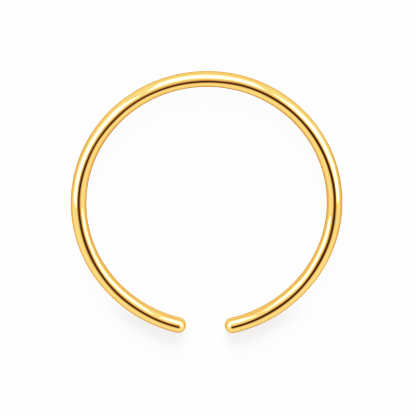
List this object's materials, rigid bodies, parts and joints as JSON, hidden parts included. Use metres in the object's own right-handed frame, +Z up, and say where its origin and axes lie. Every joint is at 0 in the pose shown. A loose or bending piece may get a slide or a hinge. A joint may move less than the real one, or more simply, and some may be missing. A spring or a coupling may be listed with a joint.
{
  "type": "open hoop nose ring",
  "caption": "Open C-shaped nose hoop of round, polished gold wire with domed ends; its gap passes over the rim of the nostril.",
  "frame": {"origin": "on the axis that the wire is bent round, at the level of the surface that the hoop lies on", "axes": "+Z is up and along the bend axis, the gap between the ends faces -Y, and +X runs across the hoop"},
  "size_m": [0.0102, 0.0102, 0.0006],
  "materials": {
    "gold_wire": "mirror-polished yellow gold"
  },
  "bodies": {
    "root": {"nose_hoop": "gold_wire"}
  },
  "joints": []
}
